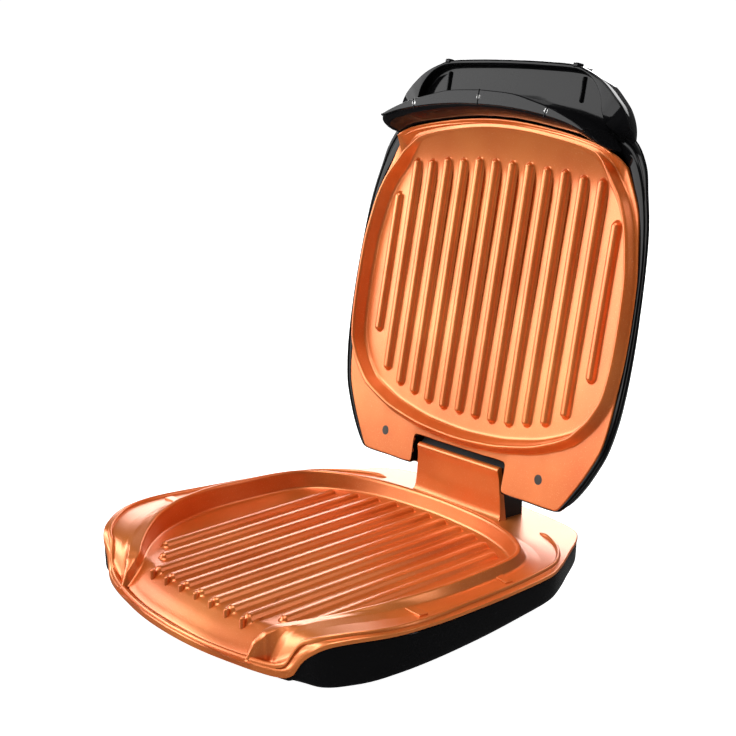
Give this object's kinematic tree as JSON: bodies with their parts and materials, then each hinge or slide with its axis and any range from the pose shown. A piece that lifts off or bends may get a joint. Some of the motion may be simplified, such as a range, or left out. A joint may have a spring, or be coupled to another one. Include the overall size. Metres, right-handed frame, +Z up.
{
  "type": "indoor grill",
  "caption": "Countertop contact grill with a ribbed sloping lower plate, a domed hinged lid with a second ribbed plate, a floating hinge and a front lift handle",
  "frame": {"origin": "middle of the open grill's outline, on the surface that it stands on", "axes": "+X to the right along the hinge, +Y to the back where the hinge is, +Z up"},
  "size_m": [0.264, 0.2755, 0.3028],
  "materials": {
    "copper_coating": "satin non-stick",
    "black_shell": "gloss",
    "black_moulding": "satin",
    "handle_trim": "gloss",
    "rubber": "matte",
    "steel": "plated",
    "dark_steel": "black oxide",
    "shield_sheet": "mill",
    "element_sheath": "oxidised",
    "ceramic": "unglazed",
    "red_lens": "polished",
    "green_lens": "polished",
    "lamp_glass": "clear",
    "bush": "moulded"
  },
  "bodies": {
    "base": {"lower_grill_plate": "copper_coating", "base_housing": "black_shell", "bottom_cover": "black_moulding", "foot_front_left": "rubber", "foot_front_right": "rubber", "foot_rear_left": "rubber", "foot_rear_right": "rubber", "hinge_tower": "black_moulding", "cord_gland": "black_moulding", "terminal_block": "ceramic", "thermal_fuse": "steel", "lower_heating_element": "element_sheath", "lower_element_clips": "steel", "lower_heat_shield": "shield_sheet", "lower_thermostat": "steel", "base_screws": "steel", "tower_screws": "steel"},
    "carriage": {"hinge_pin": "steel"},
    "lid": {"lid_housing": "black_shell", "upper_grill_plate": "copper_coating", "upper_plate_screws": "dark_steel", "upper_heating_element": "element_sheath", "upper_element_clips": "steel", "upper_heat_shield": "shield_sheet", "upper_thermostat": "steel", "hinge_bush_left": "bush", "hinge_bush_right": "bush", "handle_shell": "black_shell", "handle_trim": "handle_trim", "handle_apron": "black_shell", "handle_underside": "black_moulding", "handle_screws": "dark_steel", "power_light": "red_lens", "ready_light": "green_lens", "indicator_lamps": "lamp_glass"}
  },
  "joints": [
    {"name": "hinge_float", "type": "slide", "parent": "base", "child": "carriage", "axis": [0, 0, 1], "range_m": [0, 0.008]},
    {"name": "lid_hinge", "type": "hinge", "parent": "carriage", "child": "lid", "pos_m": [0, 0.0829, 0.0539], "axis": [1, 0, 0], "range_deg": [0, 101.2]}
  ]
}
